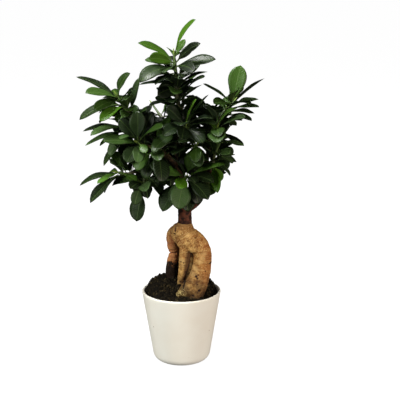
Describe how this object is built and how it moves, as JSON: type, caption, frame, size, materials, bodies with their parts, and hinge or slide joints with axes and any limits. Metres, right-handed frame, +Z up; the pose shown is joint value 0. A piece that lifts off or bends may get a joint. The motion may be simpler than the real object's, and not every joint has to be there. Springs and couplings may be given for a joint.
{
  "type": "potted ginseng ficus",
  "caption": "Small fig tree with swollen bare roots, a grafted leafy crown and a plain white tapered pot, standing by itself.",
  "frame": {"origin": "centre of the pot's underside", "axes": "+Z up along the pot's axis; the plant is seen from -Y, and +X is to its right from there"},
  "size_m": [0.27, 0.1746, 0.516],
  "materials": {
    "glaze": "smooth off-white glaze with a soft shine and a few tiny dark specks",
    "soil": "dark crumbly potting soil with fibres",
    "root_bark": "dry tan bark with fine ridges across and small pores",
    "stem_bark": "rough dark red-brown bark",
    "leaf": "thick leathery dark green leaf with a waxy sheen"
  },
  "bodies": {
    "root": {"pot": "glaze", "soil": "soil", "rootstock": "root_bark", "grafted_wood": "stem_bark", "shoot_top": "leaf", "shoot_rightTop": "leaf", "shoot_rightLow": "leaf", "shoot_rightMid": "leaf", "shoot_centreMid": "leaf", "shoot_centreLow": "leaf", "shoot_leftHang": "leaf", "shoot_leftLow": "leaf", "shoot_leftTop": "leaf", "shoot_leftMid": "leaf", "shoot_leftCentre": "leaf", "shoot_centreLeft": "leaf", "shoot_centre": "leaf", "shoot_backLeft": "leaf", "shoot_backRight": "leaf", "shoot_backLow": "leaf", "shoot_backLowRight": "leaf", "shoot_backTop": "leaf", "shoot_backMid": "leaf"}
  },
  "joints": []
}
